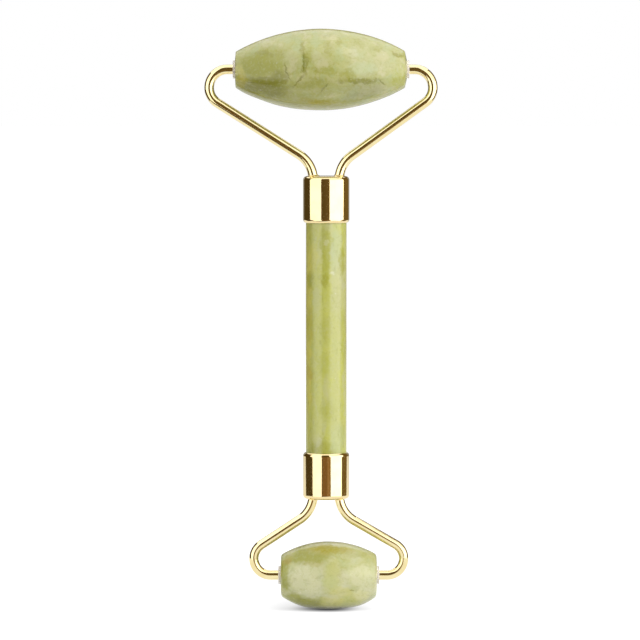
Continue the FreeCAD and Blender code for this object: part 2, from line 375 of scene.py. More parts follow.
# Patches seen from the front, each as (x, z, half-width, half-height, tone, strength), in millimetres from
# the middle of its stone. Most are the stone's own colour; those marked below are painted shade and
# painted reflection.
LARGE_PATCHES = [
    (13.0, 3.4, 8.5, 4.6, "cloud", 0.50),
    (10.0, 0.4, 3.6, 1.8, "cool", 0.50),
    (15.3, 3.2, 2.2, 1.6, "warm", 0.60),
    (8.0, 4.2, 1.4, 1.3, "white", 0.30),
    (1.4, 8.2, 3.0, 1.2, "warm", 0.50),
    (9.6, 6.4, 2.4, 1.2, "mid", 0.25),
    (13.8, 5.3, 2.2, 0.8, "mid", 0.30),
    (4.4, 6.8, 0.9, 2.2, "mid", 0.40),
    (-15.6, 1.0, 7.4, 3.6, "moss", 0.90),
    (-10.6, 1.2, 2.6, 4.4, "moss", 0.50),
    (-10.2, -2.0, 2.4, 2.0, "olive", 0.70),
    (-12.0, 4.7, 4.6, 2.0, "moss", 0.45),
    (-8.0, 3.4, 2.0, 2.2, "mid", 0.30),
    (-14.2, 3.9, 4.6, 0.7, "olive", 0.35),
    (-14.0, -4.9, 8.6, 3.0, "olive", 0.90),
    (-14.4, -2.6, 7.6, 1.3, "olive", 0.75),
    (-12.5, 6.2, 6.0, 1.7, "milky", 0.18),
    (-7.0, 2.2, 2.0, 3.6, "cloud", 0.40),
    (-2.9, 3.8, 1.6, 2.6, "moss", 0.40),
    (-4.5, 5.2, 0.8, 3.2, "olive", 0.45),
    (-4.0, 1.6, 0.9, 3.4, "olive", 0.60),
    (-0.8, 3.0, 2.2, 1.6, "cloud", 0.60),
    (1.8, 5.4, 1.4, 2.2, "mid", 0.45),
    (1.0, -0.2, 3.6, 1.4, "moss", 0.45),
    (-1.5, -4.4, 7.4, 3.0, "mid", 0.60),
    (12.0, -1.2, 3.4, 0.9, "mid", 0.35),
    (10.2, -2.5, 7.4, 0.9, "olive", 0.90),
    (6.8, -1.3, 2.0, 1.8, "moss", 0.55),
    (11.0, -5.0, 7.2, 3.0, "grey", 0.50),
    (6.0, 4.6, 1.6, 1.3, "milky", 0.45),
    (19.2, 3.9, 1.8, 0.7, "olive", 0.45),
    (19.4, -2.7, 2.8, 2.2, "leaf", 0.60),
    (0.0, -8.6, 14.0, 1.9, "mid", 0.60),
    (-6.4, -6.8, 5.4, 1.4, "moss", 0.50),
    (-15.0, -6.6, 3.4, 1.2, "moss", 0.50),
    (6.0, -3.9, 2.4, 1.6, "mid", 0.40),
    (9.0, -7.0, 5.0, 1.2, "grey", 0.25),
    (-1.4, -7.9, 4.8, 1.0, "honey", 0.70),
    (-19.9, -2.7, 2.0, 2.6, "honey", 0.85),
    (-20.2, -1.2, 1.6, 2.6, "straw", 0.35),
]
HANDLE_PATCHES = [
    (-4.6, 2.0, 1.5, 30.0, "straw", 0.75),
    (-4.0, 14.6, 1.3, 2.2, "moss", 0.50),
    (-4.2, 3.6, 1.2, 5.4, "moss", 0.30),
    (-4.3, -8.6, 1.2, 2.4, "amber", 0.30),
    (-3.4, 20.0, 1.4, 4.4, "straw", 0.30),
    (-0.2, 18.0, 1.5, 6.6, "leaf", 0.75),
    (-0.2, 14.4, 1.3, 2.4, "moss", 0.35),
    (-0.2, 24.0, 1.6, 4.6, "leaf", 0.75),
    (0.0, 2.4, 1.7, 4.0, "moss", 0.25),
    (-2.0, -20.0, 2.0, 6.4, "fresh", 0.70),
    (-0.6, -6.4, 1.9, 3.4, "leaf", 0.50),
    (0.4, -18.0, 2.4, 3.0, "leaf", 0.60),
    # Painted shade: the rod darkened just above the lower ferrule.
    (-1.4, -27.8, 5.2, 3.0, "moss", 0.50),
    # Partly painted reflection: the next five lie where the right softbox is mirrored down the rod, and add
    # its pale, cool tint to the stone's own tone.
    (3.0, -25.0, 2.4, 5.0, "cool", 0.50),
    (2.4, 22.0, 1.8, 7.0, "cool", 0.65),
    (3.0, 13.0, 2.2, 9.0, "cloud", 0.55),
    (2.4, 2.0, 2.0, 16.0, "pale", 0.50),
    (2.4, -17.0, 2.0, 10.0, "pale", 0.45),
    (4.9, 0.0, 0.8, 30.0, "cloud", 0.60),
    (4.2, 19.0, 1.1, 4.4, "moss", 0.55),
    (4.4, 13.0, 1.4, 1.2, "cloud", 0.75),
    (4.5, -1.0, 0.9, 9.0, "leaf", 0.50),
    (1.8, 16.7, 0.7, 0.6, "white", 0.40),
    (2.3, 16.0, 0.5, 0.5, "white", 0.30),
    (-0.1, 24.2, 0.4, 0.9, "white", 0.30),
    (-2.1, -25.9, 0.8, 1.2, "white", 0.22),
    (-2.3, 9.4, 1.2, 4.6, "cloud", 0.30),
]
SMALL_PATCHES = [
    (-6.4, -0.6, 5.1, 4.0, "milky", 0.75),
    (-3.4, -3.6, 2.4, 1.6, "milky", 0.45),
    (-5.6, 5.2, 7.4, 2.0, "moss", 0.85),
    (-3.6, 3.6, 3.0, 0.9, "honey", 0.35),
    (-6.4, 7.0, 4.4, 1.2, "moss", 0.45),
    (-10.6, 3.6, 1.6, 2.8, "honey", 0.70),
    (0.6, 7.0, 7.0, 1.7, "honey", 0.85),
    (6.0, 5.6, 4.0, 0.8, "moss", 0.40),
    (-11.2, 1.0, 1.6, 5.4, "moss", 0.75),
    (-10.4, 3.9, 1.1, 0.9, "amber", 0.35),
    (-8.0, -5.6, 4.4, 2.0, "moss", 0.85),
    (-5.0, -6.4, 3.6, 1.4, "olive", 0.65),
    (-5.6, -7.4, 2.4, 1.0, "olive", 0.45),
    (5.0, -6.2, 5.4, 2.4, "fresh", 0.60),
    # Painted shade: a dark band along the bottom edge, where the stone meets the floor.
    (-0.4, -8.3, 6.0, 1.0, "dark", 0.70),
    (-3.2, -6.4, 4.4, 2.0, "moss", 0.55),
    (0.8, 0.0, 2.6, 5.0, "fresh", 0.45),
    (3.4, -3.6, 3.4, 1.8, "straw", 0.35),
    (0.6, -6.4, 3.4, 2.2, "straw", 0.40),
    (8.6, -4.0, 3.4, 2.6, "milky", 0.75),
    (8.0, -4.8, 3.0, 2.0, "straw", 0.25),
    (8.2, 0.4, 4.2, 3.2, "milky", 0.65),
    (5.5, -3.0, 0.4, 0.4, "dark", 0.45),
]
# Hairline cracks seen from the front, each as (x, z, length, lean from upright in degrees), in millimetres.
LARGE_CRACKS = [
    (-8.4, -0.5, 5.0, -20),
    (-5.7, -3.0, 5.0, 38),
    (-4.3, 1.8, 5.2, 3),
    (0.8, -4.5, 3.4, 40),
    (15.3, -3.1, 2.4, -45),
]

# How noise pushes the patches' edges, as (blotches per millimetre, reach in millimetres): broadly, and in
# small steps.
WARPS = ((0.24, 3.0), (0.90, 1.8))
PATCH_CORE = 0.50      # a patch is full out to this share of its size,
PATCH_EDGE = 1.15      # and fades out to this one
PATCH_DEPTH = 2.5      # the least half-depth of a patch, in millimetres
CRACK_WIDTH = 0.15     # in millimetres
CRACK_WAVE = 1.6       # how far a crack wanders, in millimetres
CRACK_STRENGTH = 0.50
CRACK_DULL = 0.05      # how much rougher a crack is
VEIN_WIDTH = 0.020     # how far from its middle value a noise still shows as a vein
VEIN_STRENGTH = 0.16
FLECK_STRENGTH = 0.40
BACK_FADES = (-1.0, 4.0)     # in millimetres behind the middle plane
POLISH = (0.17, 0.25)  # the roughness of well polished places and of duller ones
RIPPLE = 0.012 * MM    # height of the polished surface's ripples
PIT_SHARE = 0.10       # depth of pits, as a share of that,
CRACK_SHARE = 0.08     # and of cracks


def patch_mask(tree, at, middle, radii):
    """1 in the core of an ellipsoid and 0 outside it."""
    offset = vector_maths(tree, "SUBTRACT", at, middle)
    scaled = vector_maths(tree, "DIVIDE", offset, radii)
    return ramped(tree, vector_maths(tree, "LENGTH", scaled), PATCH_EDGE, PATCH_CORE)


def swayed(tree, colour, value, fall, rise, tones, strength):
    """The colour mixed towards the first tone as the value falls through fall, and towards the second one as
    it rises through rise."""
    colour = mixed(tree, ramped(tree, value, *rise, to_high=strength), colour, TONES[tones[1]])
    return mixed(tree, ramped(tree, value, *fall, to_high=strength), colour, TONES[tones[0]])


def jade(name, centre, seed, front, clouds, patches, banding, drift, speckle, cracks=()):
    """Mottled, faintly translucent polished jade. seed picks the place in the noise, front(x, z) is how far
    the front surface is from the stone's middle plane there, clouds are the (position, tone) stops of the
    broad mottling, banding stretches the mottling along each axis, drift is how far the hue wanders, and
    speckle is the strength of the fine mottling."""
    material, tree, shader = make_material(name)
    place = millimetres(tree, centre)
    shifted = vector_maths(tree, "ADD", place, (seed, seed * 2, seed * 3))
    grain = vector_maths(tree, "MULTIPLY", shifted, banding)
    warped = place
    for scale, reach in WARPS:
        push = cloudy(tree, shifted, scale, detail=4, roughness=0.55)["Color"]
        push = vector_maths(tree, "SUBTRACT", push, (0.5, 0.5, 0.5))
        warped = vector_maths(tree, "ADD", warped, vector_maths(tree, "MULTIPLY", push, (reach,) * 3))

    broad = cloudy(tree, grain, 0.12, detail=4, roughness=0.52, distortion=0.5)["Fac"]
    ramp = add_node(tree, "ValToRGB", Fac=broad)
    stops = ramp.color_ramp.elements
    (stops[0].position, first), (stops[1].position, last) = clouds[0], clouds[-1]
    stops[0].color, stops[1].color = TONES[first], TONES[last]
    for position, tone in clouds[1:-1]:
        stops.new(position).color = TONES[tone]
    colour = ramp.outputs["Color"]
    hue = cloudy(tree, warped, 0.33, detail=3, roughness=0.55)["Fac"]
    colour = swayed(tree, colour, hue, (0.50, 0.36), (0.50, 0.64), ("cool", "warm"), drift)
    for x, z, half_width, half_height, tone, strength in patches:
        depth = max(PATCH_DEPTH, min(half_width, half_height) * 1.5)
        mask = patch_mask(tree, warped, (x, -front(x, z), z), (half_width, depth, half_height))
        colour = mixed(tree, maths(tree, "MULTIPLY", mask, strength), colour, TONES[tone])
    fine = cloudy(tree, grain, 0.50, detail=5, roughness=0.58, distortion=0.6)["Fac"]
    colour = swayed(tree, colour, fine, (0.46, 0.22), (0.52, 0.80), ("olive", "cloud"), 0.35)
    mottle = cloudy(tree, shifted, 1.5, detail=4, roughness=0.62)["Fac"]
    colour = swayed(tree, colour, mottle, (0.50, 0.30), (0.50, 0.70), ("moss", "cloud"), speckle)

    # Away from the front, where there are no placed patches, the mottling is stronger.
    depth = add_node(tree, "SeparateXYZ", Vector=place).outputs["Y"]
    back = ramped(tree, depth, *BACK_FADES)
    blotch = cloudy(tree, warped, 0.14, detail=4, roughness=0.55)["Fac"]
    light = maths(tree, "MULTIPLY", back, ramped(tree, blotch, 0.52, 0.62, to_high=0.70))
    dark = maths(tree, "MULTIPLY", back, ramped(tree, blotch, 0.46, 0.38, to_high=0.65))
    colour = mixed(tree, light, colour, TONES["cloud"])
    colour = mixed(tree, dark, colour, TONES["moss"])

    # Thin wandering veins, where a noise passes its middle value.
    flow = cloudy(tree, warped, 0.13, detail=2, roughness=0.5)["Fac"]
    ridge = maths(tree, "ABSOLUTE", maths(tree, "SUBTRACT", flow, 0.5))
    faint = ramped(tree, fine, 0.42, 0.62, to_high=VEIN_STRENGTH)
    vein = maths(tree, "MULTIPLY", ramped(tree, ridge, VEIN_WIDTH, 0.0), faint)
    colour = mixed(tree, vein, colour, TONES["olive"])

    # Small white flecks, in some of the cells of a Voronoi pattern.
    cells = add_node(tree, "TexVoronoi", Vector=shifted, Scale=0.75)
    lot = add_node(tree, "SeparateColor", Color=cells.outputs["Color"]).outputs[0]
    chosen = ramped(tree, lot, 0.90, 0.96)
    fleck = maths(tree, "MULTIPLY", ramped(tree, cells.outputs["Distance"], 0.20, 0.04), chosen)
    colour = mixed(tree, maths(tree, "MULTIPLY", fleck, FLECK_STRENGTH), colour, TONES["white"])

    # Hairline cracks: a thin wavy sheet inside a small ellipsoid.
    crack_depth = 0.0
    for x, z, length, lean_deg in cracks:
        lean = math.radians(lean_deg)
        across = (math.cos(lean), 0.0, -math.sin(lean))
        middle = Vector((x, -front(x, z), z))
        wave = maths(tree, "MULTIPLY", cloudy(tree, shifted, 0.5, detail=3)["Fac"], CRACK_WAVE)
        sheet = maths(tree, "ADD", vector_maths(tree, "DOT_PRODUCT", place, across), wave)
        off = maths(tree, "ABSOLUTE", maths(tree, "SUBTRACT", sheet, middle.dot(across) + CRACK_WAVE / 2))
        line = ramped(tree, off, CRACK_WIDTH * 2, CRACK_WIDTH / 2)
        near = patch_mask(tree, place, middle, (length / 2,) * 3)
        crack_depth = maths(tree, "MAXIMUM", maths(tree, "MULTIPLY", line, near), crack_depth)
    colour = mixed(tree, maths(tree, "MULTIPLY", crack_depth, CRACK_STRENGTH), colour, TONES["dark"])
    put(tree, shader.inputs["Base Color"], colour)

    # Hand polish: the gloss varies a little, cracks are dull and sunk, and there are tiny pits.
    smear = cloudy(tree, grain, 0.9, detail=4, roughness=0.6)["Fac"]
    roughness = ramped(tree, smear, 0.35, 0.70, *POLISH)
    dull = maths(tree, "MULTIPLY", crack_depth, CRACK_DULL)
    put(tree, shader.inputs["Roughness"], maths(tree, "ADD", roughness, dull))
    ripple = cloudy(tree, shifted, 0.6, detail=2)["Fac"]
    unpitted = ramped(tree, cloudy(tree, shifted, 5.0, detail=3, roughness=0.6)["Fac"], 0.30, 0.42)
    height = maths(tree, "ADD", ripple, maths(tree, "MULTIPLY", unpitted, PIT_SHARE))
    height = maths(tree, "SUBTRACT", height, maths(tree, "MULTIPLY", crack_depth, CRACK_SHARE))
    bumped(tree, shader, height, RIPPLE)

    shader.inputs["IOR"].default_value = 1.56
    shader.inputs["Subsurface Weight"].default_value = 0.35
    shader.inputs["Subsurface Radius"].default_value = (1.0, 1.0, 0.45)
    shader.inputs["Subsurface Scale"].default_value = 1.4 * MM
    return material


# ---------------------------------------------------------------- metal and plastic

def gold(name, pale, deep, roughness, unevenness):
    """Bright gold plating over a base that isn't perfectly even. roughness is (lowest, highest)."""
    material, tree, shader = make_material(name)
    place = millimetres(tree)
    tint = cloudy(tree, place, 0.35, detail=4)["Fac"]
    put(tree, shader.inputs["Base Color"], mixed(tree, ramped(tree, tint, 0.35, 0.65), pale, deep))
    handled = cloudy(tree, place, 1.3, detail=6, roughness=0.65)["Fac"]
    put(tree, shader.inputs["Roughness"], ramped(tree, handled, 0.38, 0.68, *roughness))
    bumped(tree, shader, cloudy(tree, place, 0.30, detail=1)["Fac"], unevenness)
    shader.inputs["Metallic"].default_value = 1.0
    return material


def clear_plastic(name):
    """Clear moulded plastic, clouded a little by handling."""
    material, tree, shader = make_material(name)
    place = millimetres(tree)
    clear, cloudier = (0.98, 0.93, 0.87, 1), (0.95, 0.89, 0.82, 1)
    haze = cloudy(tree, place, 1.4, detail=4, roughness=0.6)["Fac"]
    put(tree, shader.inputs["Base Color"], mixed(tree, ramped(tree, haze, 0.35, 0.7), clear, cloudier))
    put(tree, shader.inputs["Roughness"], ramped(tree, haze, 0.3, 0.7, to_low=0.20, to_high=0.32))
    bumped(tree, shader, cloudy(tree, place, 2.5, detail=3)["Fac"], 0.02 * MM)
    shader.inputs["Transmission Weight"].default_value = 0.40
    shader.inputs["IOR"].default_value = 1.49
    return material


def epoxy(name):
    """Set glue, paler in some places than in others."""
    material, tree, shader = make_material(name)
    place = millimetres(tree)
    deep, pale = (0.62, 0.52, 0.30, 1), (0.72, 0.64, 0.42, 1)
    clots = cloudy(tree, place, 0.8, detail=5)["Fac"]
    put(tree, shader.inputs["Base Color"], mixed(tree, ramped(tree, clots, 0.35, 0.7), deep, pale))
    put(tree, shader.inputs["Roughness"], ramped(tree, clots, 0.3, 0.7, to_low=0.25, to_high=0.45))
    bumped(tree, shader, clots, 0.1 * MM)
    return material


# ---------------------------------------------------------------- pieces

def dress(piece, material, body, slot, *nodes):
    """Gives a piece its material and its body, and hides the CAD nodes that it stands for. slot is not used.
    """
    piece.data.materials.clear()
    piece.data.materials.append(material)
    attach(piece, body)
    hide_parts(*nodes)


def profile(size, along):
    """A stone's radius, at a distance along its axle from its middle."""
    thickest = size_of(f"{size}_roller_stone").z / 2
    return thickest - PROFILE_R[size] + math.sqrt(PROFILE_R[size] ** 2 - along ** 2)


def end_outline(size, slope, corner):
    """The outline of one end of a stone, from the bottom of its drilled hole out to its side, with the end
    facing +along. Also gives the angle at which the side's arc takes over."""
    node = f"{size}_roller_stone"
    half, thickest = size_of(node).x / 2, size_of(node).z / 2
    depth = half - BORE_DEPTH[size]
    point = depth - SLEEVE_R / math.tan(math.radians(DRILL_POINT_DEG / 2))
    face = Vector((half, FLANGE_R))
    arc_centre = Vector((0, thickest - PROFILE_R[size]))
    rim = Vector((half - slope, profile(size, half - slope)))

    # The corner's round touches both the end's slope and, from inside, the side's arc.
    up = (rim - face).normalized()
    inward = Vector((-up.y, up.x))
    start = face + inward * corner - arc_centre
    reach = -up.dot(start)
    reach += math.sqrt(up.dot(start) ** 2 - start.length_squared + (PROFILE_R[size] - corner) ** 2)
    centre = arc_centre + start + up * reach
    face_deg = math.degrees(math.atan2(-inward.y, -inward.x))
    side_deg = math.degrees(math.atan2(centre.y - arc_centre.y, centre.x))

    outline = [Vector((point, 0))]
    outline += straight((depth, SLEEVE_R), (half - HOLE_EDGE, SLEEVE_R), STEP * 2)
    outline += straight((half - HOLE_EDGE, SLEEVE_R), (half, SLEEVE_R + HOLE_EDGE))
    outline += straight((half, SLEEVE_R + HOLE_EDGE), face)
    outline += straight(face, centre - inward * corner)
    outline += rounded(centre, corner, face_deg, side_deg)
    return outline, side_deg


def wavy(waves, start):
    """Makes a round piece's radius wave a little. waves is as in ROD_WAVES, and start is the place in the
    noise that they are taken from."""
    scale, stretch, set_in, height = waves

    def shift(along, angle, radius):
        across = Vector((radius * math.cos(angle), radius * math.sin(angle), along * stretch)) / MM
        return along, radius + (noise.noise(across * scale + start) - set_in) * height

    return shift


def stone(size, seed, material):
    """A barrel-shaped stone, ground and polished by hand, so not perfectly round."""
    node = f"{size}_roller_stone"
    half, thickest = size_of(node).x / 2, size_of(node).z / 2
    waves = STONE_WAVES[size]
    left, left_deg = end_outline(size, END_SLOPE[size][0], CORNER_R[size][0])
    right, right_deg = end_outline(size, END_SLOPE[size][1], CORNER_R[size][1])
    arc_centre = (0, thickest - PROFILE_R[size])
    arc_step = math.degrees(STEP / PROFILE_R[size])
    outline = [Vector((-along, radius)) for along, radius in left]
    outline += rounded(arc_centre, PROFILE_R[size], 180 - left_deg, right_deg, arc_step)
    outline += reversed(right)

    def shift(along, angle, radius):
        if radius <= FLANGE_R:
            return along, radius
        across = Vector((along, radius * math.cos(angle), radius * math.sin(angle))) / MM
        broad = noise.noise(across * BROAD_WAVES + Vector((seed, 0, 0)))
        fine = noise.noise(across * FINE_WAVES + Vector((0, seed, 0)))
        share = min(1.0, (radius - FLANGE_R) / WAVES_FADE)
        change = broad * waves + fine * waves * FINE_SHARE - waves * STONE_SET_IN
        lower_side = min(0.0, math.sin(angle)) ** 2
        for place, reach, fullness in FULLER[size]:
            change += fullness * math.exp(-((along - place) / reach) ** 2) * lower_side
        tilt = waves * END_TILT * (abs(along) / half) ** END_TILT_POWER * (1 + fine) * share
        return along - math.copysign(tilt, along), radius + change * share

    piece = revolved(f"{size}_stone", outline, HEAD_AT[size], X, STONE_SIDES, shift)
    dress(piece, material, f"{size}_roller", f"{size}_roller_jade", node)


def handle(material):
    """The stone rod. It is polished to a cylinder, with a very slight wave along it."""
    low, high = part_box("handle_rod")
    end_r = HANDLE_R - ROD_CHAMFER
    corners = [(low.z, end_r), (low.z + ROD_CHAMFER, HANDLE_R),
               (high.z - ROD_CHAMFER, HANDLE_R), (high.z, end_r)]
    outline = [Vector((low.z, 0))]
    for start, stop in zip(corners, corners[1:]):
        outline += straight(start, stop)
    outline += [Vector((high.z, end_r)), Vector((high.z, 0))]
    piece = revolved("handle", outline, Vector(), Z, STONE_SIDES, wavy(ROD_WAVES, Vector()))
    dress(piece, material, "handle_frame", "handle_jade", "handle_rod")


def ferrule(end, up, material):
    """A drawn cup over one end of the handle, with a faintly uneven wall and a hole for each leg. up is 1
    at the upper end and -1 at the lower one."""
    bore = HANDLE_R + GLUE_FILM
    floor = CLOSED_Z - FERRULE_FLOOR
    shoulder = (CLOSED_Z - SHOULDER_R, FERRULE_R - SHOULDER_R)
    lip_angle = math.acos(1 - LIP_IN / LIP_R)
    lip = (MOUTH_Z + LIP_R * math.sin(lip_angle), FERRULE_R - LIP_R)
    outline = [Vector((CLOSED_Z, 0))]
    outline += straight((CLOSED_Z, STEP), (CLOSED_Z, shoulder[1]))
    outline += rounded(shoulder, SHOULDER_R, 0, 90)
    outline += straight((shoulder[0], FERRULE_R), (lip[0], FERRULE_R))
    outline += rounded(lip, LIP_R, 90, 90 + math.degrees(lip_angle))
    outline += [Vector((MOUTH_Z, FERRULE_R - LIP_IN)), Vector((MOUTH_Z, bore + LIP_CHAMFER))]
    outline += straight((MOUTH_Z + LIP_CHAMFER, bore), (floor, bore), STEP * 2)
    outline += [Vector((floor, bore)), Vector((floor, 0))]
    waves = wavy(CUP_WAVES, Vector((CUP_SHIFT * up, 0, 0)))
    cup = revolved(f"{end}_cup", outline, Vector(), Z * up, METAL_SIDES, waves)
    start, stop = floor - HOLE_SPARE, CLOSED_Z + HOLE_SPARE
    hole = [Vector((start, 0)), Vector((start, WIRE_R)), Vector((stop, WIRE_R)), Vector((stop, 0))]
    holes = []
    for side in SIDES.values():
        holes.append(revolved("hole", hole, X * side * LEG_X, Z * up, WIRE_SIDES))
    dress(without(cup, holes), material, "handle_frame", "gold_plating", f"{end}_ferrule")


def arm(size, name, side, material):
    """One bent wire of a fork: a leg in the ferrule, a neck bend, a sloping arm, a hook and an axle."""
    node = f"{size}_fork_{name}_arm"
    low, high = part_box(node)
    head = HEAD_AT[size]
    up = math.copysign(1, head.z)
    stone_low, stone_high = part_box(f"{size}_roller_stone")
    neck_out, neck_up = LEG_X + NECK_R, CLOSED_Z - NECK_START
    hook_out = (high.x if side > 0 else -low.x) - WIRE_R - HOOK_R[size]
    hook_up = abs(head.z) - HOOK_R[size]
    foot_up = low.z if up > 0 else -high.z
    tip_out = side * (stone_high.x if side > 0 else stone_low.x) - AXLE_IN_STONE
    apart = math.hypot(hook_out - neck_out, hook_up - neck_up)
    lean = math.atan2(hook_out - neck_out, hook_up - neck_up)
    lean += math.asin((NECK_R + HOOK_R[size]) / apart)
    lean_deg = math.degrees(lean)

    # The path as (out, up) points, with an arc for each bend.
    path = straight((LEG_X, foot_up), (LEG_X, neck_up))
    path += rounded((neck_out, neck_up), NECK_R, 180, 180 - lean_deg, BEND_STEP_DEG)
    neck_end = (neck_out - NECK_R * math.cos(lean), neck_up + NECK_R * math.sin(lean))
    hook_start = (hook_out + HOOK_R[size] * math.cos(lean), hook_up - HOOK_R[size] * math.sin(lean))
    path += straight(neck_end, hook_start)
    path += rounded((hook_out, hook_up), HOOK_R[size], -lean_deg, 90, BEND_STEP_DEG)
    path += straight((hook_out, abs(head.z)), (tip_out, abs(head.z)))
    path.append(Vector((tip_out, abs(head.z))))
    points = [Vector((side * out, 0, up * height)) for out, height in path]
    ways = []
    for i in range(len(points)):
        before, after = points[max(0, i - 1)], points[min(len(points) - 1, i + 1)]
        ways.append((after - before).normalized())
    piece = swept_wire(f"{size}_{name}_wire", points, ways, WIRE_R)
    dress(piece, material, "handle_frame", "gold_wire", node)


def brazing(end, up, material):
    """The fillet of braze round both legs, outside the ferrule and inside it."""
    lump_side, lump_deg, lump_size = BRAZE_LUMP[end]
    start_r = WIRE_R * BRAZE_IN_WIRE
    mesh_maker = bmesh.new()
    for side in SIDES.values():
        def shift(along, angle, radius):
            """The fillet's foot wanders, and the lump stands on it."""
            foot = max(0.0, (radius - WIRE_R) / BRAZE_OUTER)
            place = Vector((math.cos(angle), math.sin(angle), side + BRAZE_SHIFT * up))
            wander = noise.noise(place * BRAZE_WAVES) * BRAZE_WANDER
            lump = 0.0
            if side == lump_side:
                lump = lump_size * math.exp(-((math.degrees(angle) - lump_deg) / LUMP_SPREAD_DEG) ** 2)
            swell = lump * math.sin(min(1.0, foot) * math.pi)
            return along + swell, radius + foot * (wander + lump * LUMP_OUT)

        for face, away, reach in ((CLOSED_Z, 1, BRAZE_OUTER), (CLOSED_Z - FERRULE_FLOOR, -1, BRAZE_INNER)):
            crown, outer = face + away * reach, WIRE_R + reach
            outline = [Vector((crown, start_r))]
            outline += rounded((crown, outer), reach, -90, -90 - away * 90, FILLET_STEP_DEG)
            outline += [Vector((face, outer)), Vector((face - away * BRAZE_SUNK, start_r))]
            add_revolved(mesh_maker, outline, X * side * LEG_X, Z * up, WIRE_SIDES,
                         shift if away > 0 else None)
    fillet = finished(f"{end}_braze", mesh_maker, BRAZE_CRISP_DEG)
    dress(fillet, material, "handle_frame", "gold_brazing", f"{end}_brazing")


def bush(size, name, side, material):
    """A clear sleeve in the end of a stone, with the flange that keeps the stone off the wire's hook."""
    node = f"{size}_roller_{name}_bush"
    half = size_of(f"{size}_roller_stone").x / 2
    length = size_of(node).x - FLANGE
    bore = WIRE_R + AXLE_CLEARANCE
    edge = FLANGE_ROUND
    outer = half + FLANGE
    outline = straight((half - length, bore), (outer - edge, bore), STEP * 2)
    outline += rounded((outer - edge, bore + edge), edge, -90, 0, SMALL_ROUND_STEP_DEG)[1:]
    outline += straight((outer, bore + edge), (outer, FLANGE_R - edge))
    outline += rounded((outer - edge, FLANGE_R - edge), edge, 0, 90, SMALL_ROUND_STEP_DEG)
    outline += straight((outer - edge, FLANGE_R), (half, FLANGE_R))
    outline += straight((half, FLANGE_R), (half, SLEEVE_R))
    outline += straight((half, SLEEVE_R), (half - length, SLEEVE_R), STEP * 2)
    outline += straight((half - length, SLEEVE_R), (half - length, bore))
    piece = revolved(f"{size}_{name}_bush", outline, HEAD_AT[size], X * side, WIRE_SIDES * 2)
    dress(piece, material, f"{size}_roller", "clear_plastic", node)


def build_roller():
    """Every piece of the object."""
    plating = gold("ferrule_gold", pale=(0.96, 0.79, 0.44, 1), deep=(0.94, 0.76, 0.40, 1),
                   roughness=(0.07, 0.12), unevenness=0.003 * MM)
    wire_gold = gold("wire_gold", pale=(0.94, 0.82, 0.47, 1), deep=(0.91, 0.77, 0.41, 1),
                     roughness=(0.08, 0.13), unevenness=0.003 * MM)
    braze_gold = gold("braze_gold", pale=(0.94, 0.76, 0.43, 1), deep=(0.88, 0.68, 0.35, 1),
                      roughness=(0.14, 0.28), unevenness=0.02 * MM)
    plastic = clear_plastic("bush_plastic")

    def barrel_front(size):
        return lambda x, z: math.sqrt(max(0.0, (profile(size, x * MM) / MM) ** 2 - z ** 2))

    def rod_front(x, z):
        return math.sqrt(max(0.0, (HANDLE_R / MM) ** 2 - x ** 2))

    large_jade = jade("large_stone_jade", HEAD_AT["large"], 3.0, barrel_front("large"), LARGE_CLOUDS,
                      LARGE_PATCHES, banding=(0.8, 1.0, 1.1), drift=0.60, speckle=0.28,
                      cracks=LARGE_CRACKS)
    small_jade = jade("small_stone_jade", HEAD_AT["small"], 11.0, barrel_front("small"), SMALL_CLOUDS,
                      SMALL_PATCHES, banding=(0.8, 1.0, 1.2), drift=0.40, speckle=0.22)
    rod_jade = jade("handle_jade", Vector(), 23.0, rod_front, HANDLE_CLOUDS,
                    HANDLE_PATCHES, banding=(1.3, 1.3, 0.55), drift=0.15, speckle=0.14)
    stone("large", 2.0, large_jade)
    stone("small", 9.0, small_jade)
    handle(rod_jade)
    for end, up in (("upper", 1), ("lower", -1)):
        ferrule(end, up, plating)
        brazing(end, up, braze_gold)
        frame["nodes"][f"{end}_glue"].data.materials.clear()
        frame["nodes"][f"{end}_glue"].data.materials.append(epoxy(f"{end}_glue_epoxy"))
    for size in HEAD_AT:
        for name, side in SIDES.items():
            arm(size, name, side, wire_gold)
            bush(size, name, side, plastic)


# ---------------------------------------------------------------- studio

FLOOR_Z = cad_bounds[0].z
SHOWN_TO = ("camera", "diffuse", "glossy", "transmission", "shadow")
MIDDLE = Vector((0, 0, 0.02))   # what the lights and the cards face
CARD_DISTANCE = 0.5
CARD_STEP_DEG = 6
FLOOR_REACH = 6.0
OVERHEAD_Z = 0.55
# The white sheet's (x, y) corners. Its near edge slants, and is closest to the object on the left.
WHITE_SHEET = (
    (-0.20, -0.045), (-0.095, -0.085), (0.0, -0.12), (0.06, -0.20), (0.20, -0.24), (0.20, 0.08),
    (0.41, 0.29), (0.50, 0.36), (0.50, 1.1), (-0.50, 1.1), (-0.50, 0.36), (-0.41, 0.29), (-0.20, 0.08),
)


def shown_only_to(thing, *kinds):
    for kind in SHOWN_TO:
        setattr(thing, "visible_" + kind, kind in kinds)


def staged(name, corners, faces):
    """A sheet of the studio, which isn't part of the object."""
    mesh = bpy.data.meshes.new(name)
    mesh.from_pydata(corners, [], faces)
    sheet = add_object(name, mesh)
    return sheet


def flat_sheet(name, corners, height):
    """A flat horizontal sheet with the given (x, y) corners."""
    return staged(name, [(x, y, height) for x, y in corners], [range(len(corners))])


def rectangle(left, right, near, far):
    return (left, near), (right, near), (right, far), (left, far)


def cleared(owner):
    """The empty node tree of a new material or world."""
    owner.use_nodes = True
    owner.node_tree.nodes.clear()
    return owner.node_tree


def glow(name, colour, strength):
    """A plain light-giving material. It isn't sampled as a lamp, so only what mirrors it shows it."""
    material = bpy.data.materials.new(name)
    tree = cleared(material)
    lamp = add_node(tree, "Emission", Color=(*colour, 1), Strength=strength)
    add_node(tree, "OutputMaterial", Surface=lamp.outputs[0])
    material.cycles.emission_sampling = "NONE"
    return material


